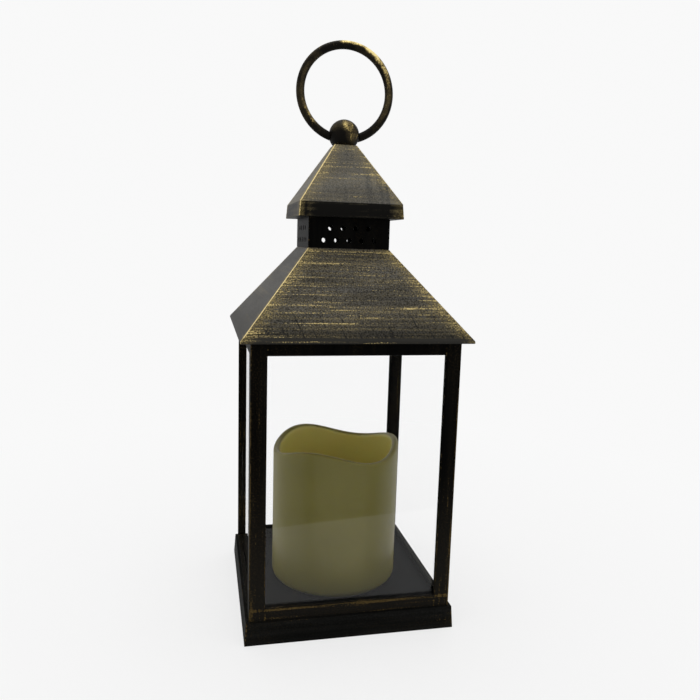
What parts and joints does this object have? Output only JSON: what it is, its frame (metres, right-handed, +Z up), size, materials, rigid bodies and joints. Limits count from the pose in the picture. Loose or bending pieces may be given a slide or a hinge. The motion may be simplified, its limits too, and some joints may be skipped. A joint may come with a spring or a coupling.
{
  "type": "led lantern",
  "caption": "Square battery lantern with a two-stage pyramid roof, pierced vent collar, ball finial with swinging carrying ring, clear panes and a wavy-rimmed pillar candle light.",
  "frame": {"origin": "on the standing surface, under the middle of the plinth", "axes": "+Z up through the finial, -Y towards the front face, +X to the right as seen from the front, along the ring's pivot"},
  "size_m": [0.1316, 0.1316, 0.3485],
  "materials": {
    "bronze_plastic": "satin",
    "dark_plastic": "satin",
    "ring_plastic": "satin",
    "deck_plastic": "satin",
    "base_plastic": "matte",
    "clear_pane": "polished",
    "ivory_wax": "satin",
    "ivory_plastic": "matte",
    "led_resin": "gloss",
    "wire_sheath": "satin",
    "cell_can": "satin",
    "contact_steel": "satin",
    "screw_steel": "satin",
    "board_green": "satin",
    "switch_can": "satin",
    "knob_black": "matte"
  },
  "bodies": {
    "lantern": {"plinth": "deck_plastic", "bottom_cover": "base_plastic", "cover_screws": "screw_steel", "front_frame": "bronze_plastic", "back_frame": "bronze_plastic", "left_curb": "bronze_plastic", "right_curb": "bronze_plastic", "left_header": "bronze_plastic", "right_header": "bronze_plastic", "front_pane": "clear_pane", "back_pane": "clear_pane", "left_pane": "clear_pane", "right_pane": "clear_pane", "top_ring": "dark_plastic", "lower_roof": "bronze_plastic", "vent_collar": "dark_plastic", "roof_cap": "bronze_plastic", "finial_screw": "screw_steel", "ball_finial": "dark_plastic", "candle_shell": "ivory_wax", "candle_screws": "screw_steel", "well_floor": "ivory_wax", "led_stem": "ivory_plastic", "led_bulb": "led_resin", "led_wires": "wire_sheath", "battery_box": "base_plastic", "battery_cells": "cell_can", "contact_springs": "contact_steel", "contact_plates": "contact_steel", "circuit_board": "board_green", "board_screws": "screw_steel", "switch_body": "switch_can"},
    "ring": {"hanging_ring": "ring_plastic"},
    "door": {"battery_door": "base_plastic", "door_screw": "screw_steel"},
    "knob": {"switch_knob": "knob_black"}
  },
  "joints": [
    {"name": "ring_swing", "type": "hinge", "parent": "lantern", "child": "ring", "pos_m": [0, 0, 0.29365], "axis": [1, 0, 0], "range_deg": [-135, 135]},
    {"name": "door_hinge", "type": "hinge", "parent": "lantern", "child": "door", "pos_m": [-0.029, 0, 0.0018], "axis": [0, 1, 0], "range_deg": [0, 95]},
    {"name": "switch_slide", "type": "slide", "parent": "lantern", "child": "knob", "axis": [1, 0, 0], "range_m": [-0.002, 0.002]}
  ]
}
